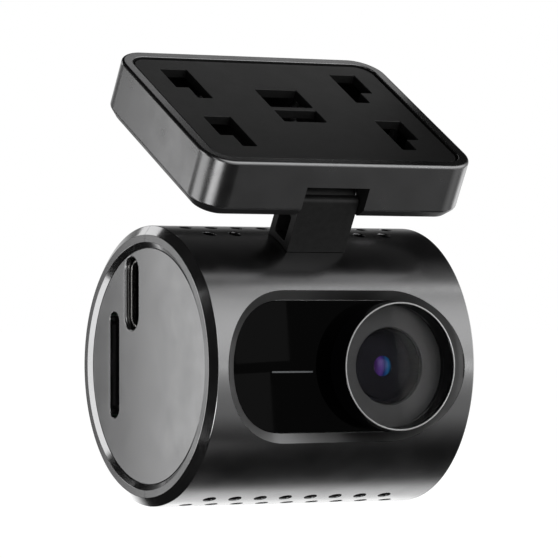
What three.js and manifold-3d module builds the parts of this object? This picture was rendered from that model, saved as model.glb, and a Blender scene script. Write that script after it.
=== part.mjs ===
// Dash camera: a cylindrical camera body hung from a slotted windshield plate by a tilting arm.
// Millimetres, +Z up, the lens looks along -Y, the camera's cylinder lies along X.
// The origin is the centre of the plate's mounting face, on the bar between the two windows.
import * as THREE from "three";
import { mergeVertices } from "three/addons/utils/BufferGeometryUtils.js";
import Module from "manifold-3d";

const wasm = await Module();
wasm.setup();

// ---- driving dimensions ----
const TILT = THREE.MathUtils.degToRad(29.7); // windshield angle from the horizontal
const FIT = 0.05; // gap left between neighbouring pieces

// Mount plate, in its own frame: x across, y up the windshield, z out of the mounting face.
const PLATE_W = 40.6;
const PLATE_D = 31.8;
const PLATE_R = 4.2;
const PLATE_Y = -0.5; // centre of the outline along the windshield
const LIP = 0.25; // rim stands this far above the mounting face
const PLATE_BOTTOM = -7.95;
const PLATE_CHAMFER_IN = 1.2;
const PLATE_CHAMFER_UP = 1.4;
const PLATE_WALL = 1.5;
const FLOOR_T = 1.2;
const PANEL_T = 1.2;
const PANEL_GAP = 0.3;
const SLOT_TOPS = [10.8, -2.9]; // upper ends of the two rows of stepped slots
const SLOT_X = 11.1;
const SLOT_WIDE = 4.05;
const SLOT_NARROW = 2.15;
const SLOT_WIDE_L = 5.35;
const SLOT_L = 8.35;
const WINDOW_HALF_W = 3.22;
const WINDOWS = [[0.43, 5.6], [-3.8, -0.43]];

// Hinge and arm, in the plate's frame.
const ARM_X = -0.5;
const ARM_W = 8.8;
const ARM_FRONT = -15.3;
const ARM_BACK = -9.85;
const ARM_WALL = 1.25;
const ARM_TOP = -5.4;
const ARM_LOOP_TOP = -8.8;
const ARM_LOOP_BOTTOM = -12.45;
const HINGE_Y = -12.58;
const HINGE_Z = -6.25;
const PIN_R = 1;
const KNUCKLE_R = 1.9;
const NOTCH_W = 9.5;
const NOTCH_TOP = -3.25;
const NOTCH_BACK = -9.25;
const EAR_T = 2.2;

// Camera body: its axis in the plate's frame, and its own sizes.
const BODY_Y = -13.25;
const BODY_Z = -31.8;
const R = 18.5;
const SHELL_T = 1.5;
const HALF_L = 20.15;
const CHAMFER_R = 1.22;
const CHAMFER_X = 0.86;
const RING_R = 16.34; // inner edge of the flat end ring
const COVER_R = 15.58;
const COVER_DEPTH = 0.45;
const LEDGE_X = 1.2;
const FLANGE_R = 16.6;
const FLANGE_T = 0.8;

// Window recess in the front of the body.
const RECESS_HALF_L = 17.92;
const RECESS_HALF_H = 9.95;
const RECESS_IN = 1.27;
const RECESS_DEEP = 0.93;
const WINDOW_Y = -14.7;
const WINDOW_T = 1.2;
const LEDGE_W = 0.9;
const LEDGE_T = 1.2;
const LIGHT_X0 = -9.3; // ends and height of the thin light bar in the window
const LIGHT_X1 = -3.15;
const LIGHT_Z = -0.68;

// Vents: two rows of round holes along the top and the bottom of the front shell.
const VENT_R = 0.85;
const VENT_PITCH = 3.83;
const VENT_X = -0.5;
const VENT_ANGLE_A = THREE.MathUtils.degToRad(70.2);
const VENT_ANGLE_B = THREE.MathUtils.degToRad(79.8);

// Lens.
const LENS_X = RECESS_HALF_L - RECESS_HALF_H;
const BEZEL_R = 8.46;
const GLASS_Y = -16.35;
const GLASS_T = 0.7;
const MASK_T = 0.6;
const PUPIL_R = 5.12;
const BARREL_R = 6;

// Boards and what they carry, as distances behind the body's axis along Y.
const BOARD_Y = 2;
const BOARD_T = 1;
const BOARD_HALF_L = 17.2;
const BOARD_RIGHT = 16.7; // clear of the button when it is pressed
const BOARD_HALF_H = 11.2;
const BOARD_POST_X = 15.6;
const BOARD_POST_Z = 9.3;
const CARD_BOARD_Y = 10.6;
const USB_Y = 4.65;
const USB_Z = 9.55;
const CARD_Y = 9.5;
const CARD_Z = 0.05;
const CARD_X = -18.3; // outer end of the card when it is latched
const BUTTON_R = 4.5;

// ---- geometry helpers ----
const at = (geometry, x, y, z) => geometry.translate(x, y, z);
const box = (x0, x1, y0, y1, z0, z1) =>
  at(new THREE.BoxGeometry(x1 - x0, y1 - y0, z1 - z0), (x0 + x1) / 2, (y0 + y1) / 2, (z0 + z1) / 2);
function slab(shape, z0, z1, steps = 8) {
  const options = { depth: z1 - z0, bevelEnabled: false, curveSegments: steps };
  return at(new THREE.ExtrudeGeometry(shape, options), 0, 0, z0);
}
// A prism whose outline lies in X and Z and which runs from y0 to y1.
const prismY = (shape, y0, y1, steps = 8) => slab(shape, -y1, -y0, steps).rotateX(Math.PI / 2);
const rodX = (radius, x0, x1, steps = 20) =>
  at(new THREE.CylinderGeometry(radius, radius, x1 - x0, steps).rotateZ(-Math.PI / 2), (x0 + x1) / 2, 0, 0);
const rodY = (radius, y0, y1, steps = 20) =>
  at(new THREE.CylinderGeometry(radius, radius, y1 - y0, steps), 0, (y0 + y1) / 2, 0);
const rodZ = (radius, z0, z1, steps = 20) =>
  at(new THREE.CylinderGeometry(radius, radius, z1 - z0, steps).rotateX(Math.PI / 2), 0, 0, (z0 + z1) / 2);
// Solids of revolution: points are [radius, place along the axis], listed round a closed outline.
const lathe = (points, steps) =>
  unsolid(solid(new THREE.LatheGeometry(
    points.concat([points[0]]).map(([r, a]) => new THREE.Vector2(r, a)), steps)));
const latheX = (points, steps = 48) => lathe(points, steps).rotateZ(-Math.PI / 2);
const latheY = (points, steps = 48) => lathe(points, steps);

function roundedRect(width, depth, radius, cx = 0, cy = 0) {
  const shape = new THREE.Shape();
  const [x, y] = [width / 2 - radius, depth / 2 - radius];
  shape.absarc(cx + x, cy + y, radius, 0, Math.PI / 2);
  shape.absarc(cx - x, cy + y, radius, Math.PI / 2, Math.PI);
  shape.absarc(cx - x, cy - y, radius, Math.PI, Math.PI * 1.5);
  shape.absarc(cx + x, cy - y, radius, Math.PI * 1.5, Math.PI * 2);
  return shape;
}

// A slot with round ends, along x if wide and along y if tall.
const stadium = (width, height, cx = 0, cy = 0) =>
  roundedRect(width, height, Math.min(width, height) / 2 - 1e-4, cx, cy);

const polygon = (points) => new THREE.Shape(points.map(([x, y]) => new THREE.Vector2(x, y)));

// A closed solid through rings of equally many points, with flat ends.
function loft(rings) {
  const n = rings[0].length;
  const position = rings.flat(2);
  const index = [];
  for (let k = 0; k + 1 < rings.length; k++) {
    for (let i = 0; i < n; i++) {
      const [a, b] = [k * n + i, k * n + ((i + 1) % n)];
      index.push(a, b, b + n, a, b + n, a + n);
    }
  }
  for (let i = 1; i + 1 < n; i++) {
    index.push(0, i + 1, i);
    const last = (rings.length - 1) * n;
    index.push(last, last + i, last + i + 1);
  }
  const geometry = new THREE.BufferGeometry();
  geometry.setAttribute("position", new THREE.Float32BufferAttribute(position, 3));
  geometry.setIndex(index);
  return geometry;
}

// ---- booleans ----
function solid(geometry) {
  const bare = new THREE.BufferGeometry();
  bare.setAttribute("position", geometry.attributes.position.clone());
  bare.setIndex(geometry.index ? geometry.index.clone() : null);
  const merged = mergeVertices(bare, 1e-5);
  const triangles = [];
  const order = merged.index.array;
  for (let i = 0; i < order.length; i += 3) {
    const [a, b, c] = [order[i], order[i + 1], order[i + 2]];
    if (a !== b && b !== c && a !== c) triangles.push(a, b, c);
  }
  const mesh = (list) =>
    wasm.Manifold.ofMesh(
      new wasm.Mesh({
        numProp: 3,
        vertProperties: new Float32Array(merged.attributes.position.array),
        triVerts: new Uint32Array(list),
      }),
    );
  const made = mesh(triangles);
  return made.volume() > 0 ? made : mesh(triangles.reverse());
}

function unsolid(manifold) {
  const mesh = manifold.getMesh();
  const geometry = new THREE.BufferGeometry();
  geometry.setAttribute("position", new THREE.BufferAttribute(new Float32Array(mesh.vertProperties), 3));
  geometry.setIndex(new THREE.BufferAttribute(new Uint32Array(mesh.triVerts), 1));
  geometry.computeVertexNormals();
  return geometry;
}

const join = (...parts) => unsolid(wasm.Manifold.union(parts.map(solid)));
const cut = (body, ...tools) => unsolid(solid(body).subtract(wasm.Manifold.union(tools.map(solid))));
const common = (a, b) => unsolid(solid(a).intersect(solid(b)));

// ---- materials ----
const paint = (color, roughness, metalness = 0, extra = {}) =>
  new THREE.MeshStandardMaterial({ color, roughness, metalness, ...extra });
const satinGrey = () => paint(0x3c3d40, 0.38, 0.6);
const coverGrey = () => paint(0x8a8b8e, 0.4, 0.6);
const matteBlack = () => paint(0x141414, 0.7);
const glossBlack = () => paint(0x050505, 0.08);
const steel = () => paint(0xb8babd, 0.3, 1);
const boardGreen = () => paint(0x14502c, 0.55);
const chipBlack = () => paint(0x1b1c1e, 0.5);
const clearGlass = (color) => paint(color, 0.03, 0, { transparent: true, opacity: 0.35 });

function place(group, name, geometry, material) {
  const mesh = new THREE.Mesh(geometry, material);
  mesh.name = name;
  group.add(mesh);
  return mesh;
}

// A screw along +Z: the head's top is at z = 0 and the shank runs up from it.
function screw(headR, headT, shankR, length) {
  const body = join(rodZ(headR, 0, headT, 16), rodZ(shankR, headT - 0.1, headT + length, 8));
  const reach = headR * 0.7;
  return cut(
    body,
    box(-reach, reach, -0.18, 0.18, -0.1, 0.35),
    box(-0.18, 0.18, -reach, reach, -0.1, 0.35),
  );
}

// ---- mount plate ----
const mount = new THREE.Group();
mount.rotation.x = TILT;

const innerW = PLATE_W - 2 * PLATE_WALL;
const innerD = PLATE_D - 2 * PLATE_WALL;
const innerR = PLATE_R - PLATE_WALL;
const floorTop = PLATE_BOTTOM + FLOOR_T;
const plateScrews = [[-16.7, 0], [16.7, 0], [-7.5, 11.2], [7.5, 11.2]];
const BOSS_SPLIT = -4;

// Outline ring for the plate's outer skin, shrunk by inset, at height z.
function plateRing(inset, z, steps = 8) {
  const outline = roundedRect(PLATE_W - 2 * inset, PLATE_D - 2 * inset, PLATE_R - inset, 0, PLATE_Y);
  const points = outline.getPoints(steps);
  const first = points[0];
  const last = points[points.length - 1];
  if (first.distanceTo(last) < 1e-6) points.pop();
  return points.map((p) => [p.x, p.y, z]);
}

function mountHousing() {
  const edge = 0.15;
  const outer = loft([
    plateRing(PLATE_CHAMFER_IN, PLATE_BOTTOM),
    plateRing(0, PLATE_BOTTOM + PLATE_CHAMFER_UP),
    plateRing(0, LIP - edge),
    plateRing(edge, LIP),
  ]);
  const hollow = slab(roundedRect(innerW, innerD, innerR, 0, PLATE_Y), floorTop, LIP + 1);
  const notchX0 = ARM_X - NOTCH_W / 2;
  const notchX1 = ARM_X + NOTCH_W / 2;
  const front = PLATE_Y - PLATE_D / 2;
  const earTop = NOTCH_TOP - 0.4;
  const ears = [
    box(notchX0 - EAR_T, notchX0, front + 1, HINGE_Y + 2.6, floorTop - 0.5, earTop),
    box(notchX1, notchX1 + EAR_T, front + 1, HINGE_Y + 2.6, floorTop - 0.5, earTop),
  ];
  const posts = plateScrews.map(([x, y]) =>
    at(rodZ(2.05, floorTop - 0.5, BOSS_SPLIT - FIT, 16), x, y, 0));
  const body = join(cut(outer, hollow), ...ears, ...posts);
  const notch = box(notchX0, notchX1, front - 1, NOTCH_BACK, PLATE_BOTTOM - 1, NOTCH_TOP);
  const pinHole = at(rodX(PIN_R + 0.02, notchX0 - EAR_T + 0.3, notchX1 + EAR_T + 1), 0, HINGE_Y, HINGE_Z);
  const screwHoles = plateScrews.flatMap(([x, y]) => [
    at(rodZ(0.85, PLATE_BOTTOM - 1, BOSS_SPLIT + 1, 12), x, y, 0),
    at(rodZ(1.65, PLATE_BOTTOM - 1, PLATE_BOTTOM + 1, 16), x, y, 0),
  ]);
  return cut(body, notch, pinHole, ...screwHoles);
}

// A stepped slot on the +x side: wide at the top, narrow below.
function steppedSlot(top) {
  const x1 = SLOT_X + SLOT_WIDE;
  return polygon([
    [SLOT_X, top - SLOT_L],
    [SLOT_X + SLOT_NARROW, top - SLOT_L],
    [SLOT_X + SLOT_NARROW, top - SLOT_WIDE_L],
    [x1, top - SLOT_WIDE_L],
    [x1, top],
    [SLOT_X, top],
  ]);
}

function mountPanel() {
  const outline = roundedRect(
    innerW - 2 * PANEL_GAP, innerD - 2 * PANEL_GAP, innerR - PANEL_GAP, 0, PLATE_Y);
  const bosses = plateScrews.map(([x, y]) => at(rodZ(1.6, BOSS_SPLIT, -PANEL_T + 0.2, 16), x, y, 0));
  const body = join(slab(outline, -PANEL_T, 0), ...bosses);
  const right = SLOT_TOPS.map((top) => slab(steppedSlot(top), -PANEL_T - 1, 1));
  const left = right.map((slot) => slot.clone().rotateY(Math.PI).translate(0, 0, -PANEL_T));
  const windows = WINDOWS.map(([y0, y1]) =>
    box(-WINDOW_HALF_W, WINDOW_HALF_W, y0, y1, -PANEL_T - 1, 1));
  const pilots = plateScrews.map(([x, y]) => at(rodZ(0.7, BOSS_SPLIT - 1, -1.7, 8), x, y, 0));
  return cut(body, ...right, ...left, ...windows, ...pilots);
}

place(mount, "mount_housing", mountHousing(), satinGrey());
place(mount, "mount_panel", mountPanel(), matteBlack());
plateScrews.forEach(([x, y], i) => {
  const piece = place(mount, `mount_screw_${i + 1}`, screw(1.5, 0.8, 0.66, 4.6), steel());
  piece.position.set(x, y, PLATE_BOTTOM + 0.15);
});
const pinX0 = ARM_X - NOTCH_W / 2 - EAR_T + 0.35;
const pin = place(mount, "hinge_pin", rodX(PIN_R, pinX0, ARM_X + NOTCH_W / 2 + EAR_T - 0.3), steel());
pin.position.set(0, HINGE_Y, HINGE_Z);
[-1, 1].forEach((side) => {
  const middle = ARM_X + (side * (NOTCH_W + ARM_W)) / 4;
  const ring = cut(rodX(1.6, middle - 0.12, middle + 0.12), rodX(PIN_R + 0.08, middle - 1, middle + 1));
  const name = side < 0 ? "friction_washer_left" : "friction_washer_right";
  place(mount, name, ring, steel()).position.set(0, HINGE_Y, HINGE_Z);
});

// ---- arm ----
const arm = new THREE.Group();
arm.rotation.x = TILT;
const TENON_W = 6;
const TENON_D = 3.2;
const TENON_END = BODY_Z + R - SHELL_T - 0.35;
const armMiddle = (ARM_FRONT + ARM_BACK) / 2;
const armScrewX = [-1.9, 1.9];

function supportArm() {
  const side = 0.35; // rounding of the edges at the arm's two sides
  const top = 0.6;
  // The outline lies in the plate's y and z and is drawn as x and y of the shape.
  const outline = new THREE.Shape();
  const bottom = BODY_Z + R - 1;
  outline.moveTo(ARM_FRONT, bottom);
  outline.lineTo(ARM_BACK, bottom);
  outline.lineTo(ARM_BACK, ARM_TOP - top);
  outline.absarc(ARM_BACK - top, ARM_TOP - top, top, 0, Math.PI / 2);
  outline.lineTo(ARM_FRONT + top, ARM_TOP);
  outline.absarc(ARM_FRONT + top, ARM_TOP - top, top, Math.PI / 2, Math.PI);
  const loop = roundedRect(
    ARM_BACK - ARM_FRONT - 2 * ARM_WALL, ARM_LOOP_TOP - ARM_LOOP_BOTTOM, 0.3,
    armMiddle, (ARM_LOOP_TOP + ARM_LOOP_BOTTOM) / 2);
  outline.holes.push(loop);
  const options = {
    depth: ARM_W - 2 * side, bevelEnabled: true, bevelThickness: side, bevelSize: side,
    bevelOffset: -side, bevelSegments: 3, curveSegments: 5,
  };
  // Turn the drawing so that its x runs along y, its y along z and its depth along x.
  const block = new THREE.ExtrudeGeometry(outline, options);
  block.applyMatrix4(new THREE.Matrix4().makeBasis(
    new THREE.Vector3(0, 1, 0), new THREE.Vector3(0, 0, 1), new THREE.Vector3(1, 0, 0)));
  block.translate(ARM_X - ARM_W / 2 + side, 0, 0);
  const half = ARM_W / 2 - side;
  const knuckle = at(rodX(KNUCKLE_R, ARM_X - half, ARM_X + half, 32), 0, HINGE_Y, HINGE_Z);
  const saddle = at(rodX(R + 0.1, -40, 40, 96), 0, BODY_Y, BODY_Z);
  const tenon = box(
    ARM_X - TENON_W / 2, ARM_X + TENON_W / 2, armMiddle - TENON_D / 2, armMiddle + TENON_D / 2,
    TENON_END, ARM_LOOP_BOTTOM - 0.5);
  const bore = at(rodX(PIN_R + 0.06, -20, 20), 0, HINGE_Y, HINGE_Z);
  const pilots = armScrewX.map((x) =>
    at(rodZ(0.68, TENON_END - 1, ARM_LOOP_BOTTOM - 0.5, 12), ARM_X + x, armMiddle, 0));
  return cut(join(cut(join(block, knuckle), saddle), tenon), bore, ...pilots);
}

place(arm, "support_arm", supportArm(), matteBlack());
const retainer = cut(
  box(ARM_X - 4, ARM_X + 4, armMiddle - 2.3, armMiddle + 2.3, TENON_END - 1.05, TENON_END - FIT),
  ...armScrewX.map((x) => at(rodZ(0.75, TENON_END - 3, TENON_END + 1, 12), ARM_X + x, armMiddle, 0)),
);
place(arm, "arm_retainer", retainer, steel());
armScrewX.forEach((x, i) => {
  const name = i === 0 ? "arm_screw_left" : "arm_screw_right";
  const piece = place(arm, name, screw(1.2, 0.8, 0.62, 2.9), steel());
  piece.position.set(ARM_X + x, armMiddle, TENON_END - 1.9);
});

// ---- camera body ----
const camera = new THREE.Group();
camera.position.set(
  0,
  BODY_Y * Math.cos(TILT) - BODY_Z * Math.sin(TILT),
  BODY_Y * Math.sin(TILT) + BODY_Z * Math.cos(TILT),
);
// Takes geometry drawn in the plate's frame into the camera's frame.
const fromPlate = (geometry) =>
  geometry.rotateX(TILT).translate(0, -camera.position.y, -camera.position.z);

const INNER_R = R - SHELL_T;
const topBossX = [-8.5, 8.5];
const bottomBossX = [-13.5, 13.5];
const BOSS_Z = 13.6;
const shellBosses = [...topBossX.map((x) => [x, BOSS_Z]), ...bottomBossX.map((x) => [x, -BOSS_Z])];
// The left upper post sits at mid-height, clear of the port behind the board's corner.
const boardPosts = [
  [-BOARD_POST_X, -BOARD_POST_Z],
  [-BOARD_POST_X, 0],
  [BOARD_POST_X, -BOARD_POST_Z],
  [BOARD_POST_X, BOARD_POST_Z],
];

// The whole cylindrical skin with its end rings; the two shells are its halves.
function skin() {
  const lip = COVER_R + 0.07;
  const outline = [
    [RING_R, HALF_L],
    [R - CHAMFER_R, HALF_L],
    [R, HALF_L - CHAMFER_X],
    [R, CHAMFER_X - HALF_L],
    [R - CHAMFER_R, -HALF_L],
    [RING_R, -HALF_L],
    [lip, COVER_DEPTH - HALF_L],
    [lip, LEDGE_X - HALF_L],
    [INNER_R, LEDGE_X - HALF_L],
    [INNER_R, HALF_L - LEDGE_X],
    [lip, HALF_L - LEDGE_X],
    [lip, HALF_L - COVER_DEPTH],
  ];
  return latheX(outline, 96);
}

// Points round the window's outline; inset shrinks it.
function recessPoints(inset, steps = 16) {
  const radius = RECESS_HALF_H - inset;
  const straight = RECESS_HALF_L - RECESS_HALF_H;
  const points = [];
  for (const side of [1, -1]) {
    for (let i = 0; i <= steps; i++) {
      const angle = -Math.PI / 2 + (Math.PI * i) / steps;
      points.push([side * (straight + radius * Math.cos(angle)), side * radius * Math.sin(angle)]);
    }
  }
  return points;
}

// The recess: a chamfer that follows the cylinder's surface, then a straight wall down to
// the window's back.
function recessCutter() {
  const outer = recessPoints(0);
  const inner = recessPoints(RECESS_IN);
  const surface = outer.map(([, z]) => -Math.sqrt(R * R - z * z));
  return loft([
    outer.map(([x, z]) => [x, -R - 6, z]),
    outer.map(([x, z], i) => [x, surface[i], z]),
    inner.map(([x, z], i) => [x, Math.min(surface[i] + RECESS_DEEP, WINDOW_Y), z]),
    inner.map(([x, z]) => [x, WINDOW_Y + WINDOW_T + FIT, z]),
  ]);
}

const recessStadium = (inset) =>
  stadium(2 * (RECESS_HALF_L - inset), 2 * (RECESS_HALF_H - inset));

// Vent places: [x, angle from straight ahead towards +Z].
function vents() {
  const rows = [];
  for (const up of [-1, 1]) {
    for (let i = 0; i < 9; i++) rows.push([VENT_X + (i - 4) * VENT_PITCH, up * VENT_ANGLE_B]);
    for (let i = 0; i < 8; i++) {
      // The arm's foot takes the place of the middle four holes on top.
      if (up > 0 && i > 1 && i < 6) continue;
      rows.push([VENT_X + (i - 3.5) * VENT_PITCH, up * VENT_ANGLE_A]);
    }
  }
  return rows;
}

const halfSpace = (front) =>
  front ? box(-30, 30, -30, -FIT / 2, -30, 30) : box(-30, 30, FIT / 2, 30, -30, 30);

function frontShell() {
  const bound = rodX(INNER_R + 0.8, -HALF_L + 1, HALF_L - 1, 60);
  const backOfLedge = WINDOW_Y + WINDOW_T + FIT + LEDGE_T;
  const block = prismY(recessStadium(RECESS_IN - 1.4), -R, backOfLedge, 8);
  const posts = boardPosts.map(([x, z]) => at(rodY(1.6, -16, BOARD_Y - FIT, 12), x, 0, z));
  const bosses = shellBosses.map(([x, z]) => at(rodY(2, -13, -FIT / 2, 12), x, 0, z));
  const inside = common(join(block, ...posts, ...bosses), bound);
  const half = common(skin(), halfSpace(true));
  const holes = vents().map(([x, angle]) =>
    at(rodY(VENT_R, INNER_R - 0.2, R + 0.6, 14).rotateX(Math.PI - angle), x, 0, 0));
  const pilots = [
    ...boardPosts.map(([x, z]) => at(rodY(0.6, -3, BOARD_Y + 1, 8), x, 0, z)),
    ...shellBosses.map(([x, z]) => at(rodY(0.72, -7, 1, 8), x, 0, z)),
  ];
  const tenonSlot = fromPlate(box(
    ARM_X - TENON_W / 2 - 0.1, ARM_X + TENON_W / 2 + 0.1,
    armMiddle - TENON_D / 2 - 0.1, armMiddle + TENON_D / 2 + 0.1,
    BODY_Z + INNER_R - 1.5, BODY_Z + R + 2));
  const behind = prismY(recessStadium(RECESS_IN + LEDGE_W), WINDOW_Y, backOfLedge + 1, 8);
  return cut(join(half, inside), recessCutter(), behind, tenonSlot, ...holes, ...pilots);
}

const SPEAKER_X = 9;
const SPEAKER_R = 6.5;
const SPEAKER_Y0 = 11.6;
const SPEAKER_Y1 = 14.8;

function rearShell() {
  const bound = rodX(INNER_R + 0.8, -HALF_L + 1, HALF_L - 1, 60);
  const bosses = shellBosses.map(([x, z]) => at(rodY(2.2, FIT / 2, 14, 12), x, 0, z));
  const collar = cut(rodY(SPEAKER_R + 1.1, SPEAKER_Y0 + 1, 18, 28), rodY(SPEAKER_R + 0.1, 0, 30, 28));
  const props = [-14, -4].map((x) => at(rodY(1.5, CARD_BOARD_Y + 0.85, 18, 12), x, 0, 0));
  const inside = common(join(at(collar, SPEAKER_X, 0, 0), ...bosses, ...props), bound);
  const half = common(skin(), halfSpace(false));
  const grille = [[0, 0]];
  for (let i = 0; i < 6; i++) {
    const angle = (i * Math.PI) / 3;
    grille.push([2.2 * Math.cos(angle), 2.2 * Math.sin(angle)]);
  }
  const holes = [
    ...grille.map(([x, z]) => at(rodY(0.55, 12, 20, 12), SPEAKER_X + x, 0, z)),
    ...shellBosses.map(([x, z]) => at(rodY(0.9, -1, 20, 12), x, 0, z)),
    ...shellBosses.map(([x, z]) => at(rodY(1.7, 5, 20, 16), x, 0, z)),
  ];
  return cut(join(half, inside), ...holes);
}

// An end cover: a thin disc held by a wider flange behind the shells' end lips.
function cover(side, ...tools) {
  const face = HALF_L - COVER_DEPTH;
  const outline = [
    [0, face],
    [COVER_R, face],
    [COVER_R, HALF_L - LEDGE_X - FIT],
    [FLANGE_R, HALF_L - LEDGE_X - FIT],
    [FLANGE_R, HALF_L - LEDGE_X - FLANGE_T],
    [0, HALF_L - LEDGE_X - FLANGE_T],
  ];
  const disc = latheX(outline, 72);
  if (side < 0) disc.rotateZ(Math.PI);
  return cut(disc, ...tools);
}

// A slot's cutter through an end cover, tall along Z.
const endSlot = (thickness, height, y, z) =>
  at(slab(stadium(height, thickness), -25, 25, 12).rotateY(Math.PI / 2), 0, y, z);

const usbOpening = endSlot(3.7, 9.5, USB_Y, USB_Z);
const cardOpening = endSlot(2.7, 14.1, CARD_Y, CARD_Z);
const leftSide = box(-30, 0, -30, 30, -30, 30);
place(camera, "front_shell", frontShell(), satinGrey());
place(camera, "rear_shell", rearShell(), satinGrey());
const leftCover = cover(-1, common(usbOpening, leftSide), common(cardOpening, leftSide));
place(camera, "left_cover", leftCover, coverGrey());
const buttonHole = rodX(BUTTON_R + 0.25, 10, 30, 48);
const soundHole = at(rodX(0.5, 10, 30, 12), 0, 3.6, -8);
place(camera, "right_cover", cover(1, buttonHole, soundHole), coverGrey());

shellBosses.forEach(([x, z], i) => {
  // The screw is drawn along +Z, so it is turned to run forwards.
  const piece = place(camera, `shell_screw_${i + 1}`, screw(1.5, 0.9, 0.66, 9.5), steel());
  piece.rotation.x = Math.PI / 2;
  piece.position.set(x, 5.95, z);
});

// ---- window and lens ----
const windowPanel = () => cut(
  prismY(recessStadium(RECESS_IN + FIT), WINDOW_Y, WINDOW_Y + WINDOW_T, 16),
  at(rodY(7.7, -20, 0, 48), LENS_X, 0, 0),
  box(LIGHT_X0 - 0.03, LIGHT_X1 + 0.03, -20, 0, LIGHT_Z - 0.14, LIGHT_Z + 0.14),
);
place(camera, "window_panel", windowPanel(), glossBlack());

const lightBar = join(
  box(LIGHT_X0, LIGHT_X1, WINDOW_Y - 0.02, WINDOW_Y + WINDOW_T + 0.5, LIGHT_Z - 0.11, LIGHT_Z + 0.11),
  box(LIGHT_X0 - 0.3, LIGHT_X1 + 0.3, WINDOW_Y + WINDOW_T + 0.2, 1.2, LIGHT_Z - 0.7, LIGHT_Z + 0.7),
);
const glow = { emissive: 0xffffff, emissiveIntensity: 0.4 };
place(camera, "light_bar", lightBar, paint(0xe8eef5, 0.2, 0, glow));
const lightMiddle = (LIGHT_X0 + LIGHT_X1) / 2;
const led = box(lightMiddle - 0.8, lightMiddle + 0.8, 1.3, BOARD_Y - FIT, -1.1, -0.2);
place(camera, "status_led", led, paint(0xf2efe2, 0.4));

const glassBack = GLASS_Y + GLASS_T;
const maskBack = glassBack + FIT + MASK_T;
const bezel = latheY([
  [8.34, -R],
  [BEZEL_R, -R],
  [BEZEL_R, WINDOW_Y - FIT],
  [7.6, WINDOW_Y - FIT],
  [7.6, WINDOW_Y + 1.8],
  [7, WINDOW_Y + 1.8],
  [7, maskBack + FIT],
  [8.08, maskBack + FIT],
  [8.08, GLASS_Y - 0.05],
], 48);
place(camera, "lens_bezel", at(bezel, LENS_X, 0, 0), paint(0x101113, 0.25, 0.5));
place(camera, "lens_glass", at(rodY(8.03, GLASS_Y, glassBack, 48), LENS_X, 0, 0), clearGlass(0xe8ecf0));
const mask = cut(rodY(8, glassBack + FIT, maskBack, 48), rodY(PUPIL_R, -20, 0, 40));
place(camera, "lens_mask", at(mask, LENS_X, 0, 0), paint(0x4b4c4e, 0.5));

const barrelFront = WINDOW_Y - 0.2;
const barrel = latheY([
  [4.95, barrelFront],
  [BARREL_R, barrelFront],
  [BARREL_R, -2],
  [2.4, -2],
  [2.4, -3.4],
  [3, -3.4],
  [3, -13],
  [4.75, -13],
  [4.75, barrelFront + 0.6],
], 32);
place(camera, "lens_barrel", at(barrel, LENS_X, 0, 0), matteBlack());
const dome = [];
for (let i = 0; i <= 5; i++) {
  const angle = (i / 5) * 0.5;
  dome.push([9.75 * Math.sin(angle), -14.95 + 9.75 * (1 - Math.cos(angle))]);
}
const frontElement = latheY([...dome, [4.67, -13.06], [0, -13.06]], 32);
place(camera, "front_element", at(frontElement, LENS_X, 0, 0), clearGlass(0x3a3560));
place(camera, "rear_element", at(rodY(2.92, -5, -3.46, 32), LENS_X, 0, 0), clearGlass(0x4a6a72));

const holder = cut(
  box(LENS_X - 6.7, LENS_X + 6.7, -6, BOARD_Y - FIT, -6.7, 6.7),
  at(rodY(BARREL_R + FIT, -10, -1.5, 48), LENS_X, 0, 0),
  box(LENS_X - 4.5, LENS_X + 4.5, -1.6, 5, -4.5, 4.5),
);
place(camera, "lens_holder", holder, matteBlack());
const filter = box(LENS_X - 3.8, LENS_X + 3.8, -1.4, -1.1, -3.8, 3.8);
place(camera, "infrared_filter", filter, clearGlass(0x6fa8a0));
const sensor = box(LENS_X - 3.5, LENS_X + 3.5, 1, BOARD_Y - FIT, -3.5, 3.5);
place(camera, "image_sensor", sensor, chipBlack());

// ---- boards ----
const boardBack = BOARD_Y + BOARD_T;
const boardOutline = polygon([
  [-BOARD_HALF_L, -BOARD_HALF_H],
  [BOARD_RIGHT, -BOARD_HALF_H],
  [BOARD_RIGHT, BOARD_HALF_H],
  [-11.2, BOARD_HALF_H],
  [-11.2, 14.2],
  [-16, 14.2],
  [-BOARD_HALF_L, 13],
]);
const mainBoard = cut(
  prismY(boardOutline, BOARD_Y, boardBack),
  ...boardPosts.map(([x, z]) => at(rodY(0.75, 0, 5, 16), x, 0, z)),
);
place(camera, "main_board", mainBoard, boardGreen());
boardPosts.forEach(([x, z], i) => {
  const piece = place(camera, `board_screw_${i + 1}`, screw(1.3, 0.7, 0.55, 4.5), steel());
  piece.rotation.x = Math.PI / 2;
  piece.position.set(x, boardBack + 0.7 + FIT, z);
});
const chipX = 6.5;
const square = (half, y0, y1) => box(chipX - half, chipX + half, y0, y1, -half, half);
place(camera, "processor", square(5.5, boardBack + FIT, 4.2), chipBlack());
place(camera, "thermal_pad", square(5, 4.2 + FIT, 5), paint(0x9fb3c4, 0.8));
const fins = Array.from({ length: 6 }, (_, i) => {
  const z = -7 + i * 2.64;
  return box(chipX - 7, chipX + 7, 6, 10.2, z, z + 0.8);
});
place(camera, "heat_sink", join(square(7, 5 + FIT, 6.2), ...fins), paint(0xa9adb2, 0.45, 1));

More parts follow.
